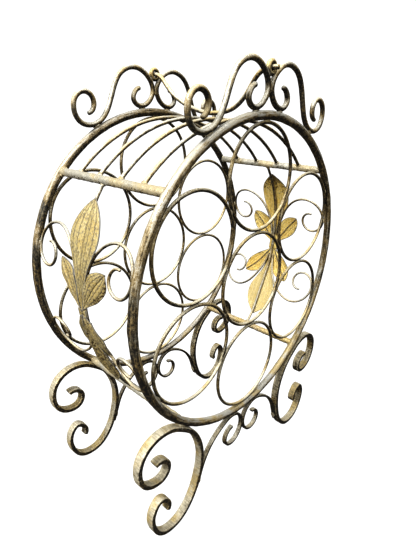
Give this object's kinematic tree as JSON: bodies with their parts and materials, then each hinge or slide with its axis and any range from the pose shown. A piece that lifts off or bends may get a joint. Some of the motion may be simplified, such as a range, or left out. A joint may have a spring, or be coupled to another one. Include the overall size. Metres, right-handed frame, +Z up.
{
  "type": "bottle rack",
  "caption": "Round wrought-iron wine rack: two hoops of wire rings joined as a drum, on scroll feet, with gilt leaf side panels and a swinging bail handle.",
  "frame": {"origin": "on the floor, below the middle of the drum", "axes": "+Z up, +Y from the front hoop to the rear hoop along the drum's axis, +X to the right as seen from the front"},
  "size_m": [0.3128, 0.16, 0.4409],
  "materials": {
    "frame_iron": "hammered, dark bronze with champagne gold rubbed over the upper faces",
    "ring_wire": "dark bronze wire with worn gold highlights",
    "foot_strip": "cross-brushed beige gold over dark iron",
    "handle_iron": "worn champagne gold over dark iron",
    "gilt_leaf": "matte antique gold, stamped veins, grey-brown edges"
  },
  "bodies": {
    "rack": {"front_hoop": "frame_iron", "rear_hoop": "frame_iron", "front_ring_centre": "ring_wire", "front_ring_top": "ring_wire", "front_ring_upper_left": "ring_wire", "front_ring_upper_right": "ring_wire", "front_ring_lower_left": "ring_wire", "front_ring_lower_right": "ring_wire", "front_ring_bottom": "ring_wire", "rear_ring_centre": "ring_wire", "rear_ring_top": "ring_wire", "rear_ring_upper_left": "ring_wire", "rear_ring_upper_right": "ring_wire", "rear_ring_lower_left": "ring_wire", "rear_ring_lower_right": "ring_wire", "rear_ring_bottom": "ring_wire", "crossbar_upper_left": "frame_iron", "crossbar_upper_right": "frame_iron", "crossbar_lower_left": "frame_iron", "crossbar_lower_right": "frame_iron", "roof_bar_1": "frame_iron", "roof_bar_2": "frame_iron", "roof_bar_3": "frame_iron", "roof_bar_4": "frame_iron", "crest_front_left": "frame_iron", "crest_front_right": "frame_iron", "crest_rear_left": "frame_iron", "crest_rear_right": "frame_iron", "handle_eye_front": "handle_iron", "handle_eye_rear": "handle_iron", "foot_front_left": "foot_strip", "brace_front_left": "foot_strip", "foot_front_right": "foot_strip", "brace_front_right": "foot_strip", "foot_rear_left": "foot_strip", "brace_rear_left": "foot_strip", "foot_rear_right": "foot_strip", "brace_rear_right": "foot_strip", "left_stem": "ring_wire", "left_upper_large_leaf": "gilt_leaf", "left_upper_small_leaves": "gilt_leaf", "left_upper_front_tendril": "ring_wire", "left_upper_rear_tendril": "ring_wire", "left_lower_large_leaf": "gilt_leaf", "left_lower_small_leaves": "gilt_leaf", "left_lower_front_tendril": "ring_wire", "left_lower_rear_tendril": "ring_wire", "right_stem": "ring_wire", "right_upper_large_leaf": "gilt_leaf", "right_upper_small_leaves": "gilt_leaf", "right_upper_front_tendril": "ring_wire", "right_upper_rear_tendril": "ring_wire", "right_lower_large_leaf": "gilt_leaf", "right_lower_small_leaves": "gilt_leaf", "right_lower_front_tendril": "ring_wire", "right_lower_rear_tendril": "ring_wire"},
    "handle": {"handle": "handle_iron"}
  },
  "joints": [
    {"name": "handle_swing", "type": "hinge", "parent": "rack", "child": "handle", "pos_m": [0, 0, 0.4338], "axis": [0, 1, 0], "continuous": true}
  ]
}
